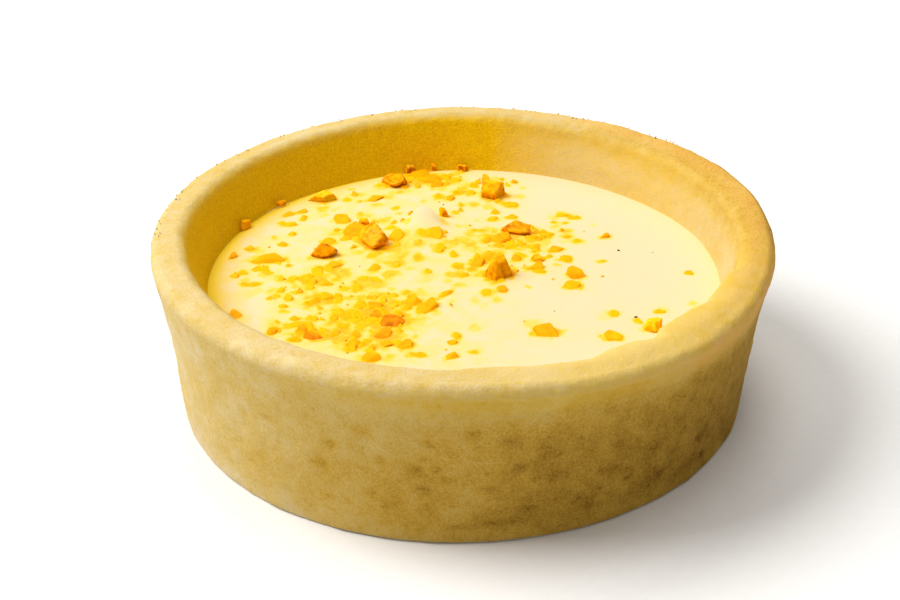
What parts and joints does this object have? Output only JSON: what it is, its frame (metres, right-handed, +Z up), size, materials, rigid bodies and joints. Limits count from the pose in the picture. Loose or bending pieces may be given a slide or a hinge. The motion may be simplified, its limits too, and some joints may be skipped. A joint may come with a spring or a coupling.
{
  "type": "creme brulee tartlet",
  "caption": "Round straight-sided pastry case filled nearly to its rim with smooth custard cream, with one small soft peak and scattered crushed caramel.",
  "frame": {"origin": "centre of the flat underside, on the surface that the tartlet stands on", "axes": "+Z up; the front of the tartlet is at -Y and its right at +X, so the peak of cream stands behind and left of the middle"},
  "size_m": [0.07, 0.07, 0.0213],
  "materials": {
    "pastry": "matte",
    "cream": "satin",
    "caramel": "gloss",
    "vanilla_seed": "matte"
  },
  "bodies": {
    "root": {"pastry_case": "pastry", "cream_filling": "cream"}
  },
  "joints": []
}
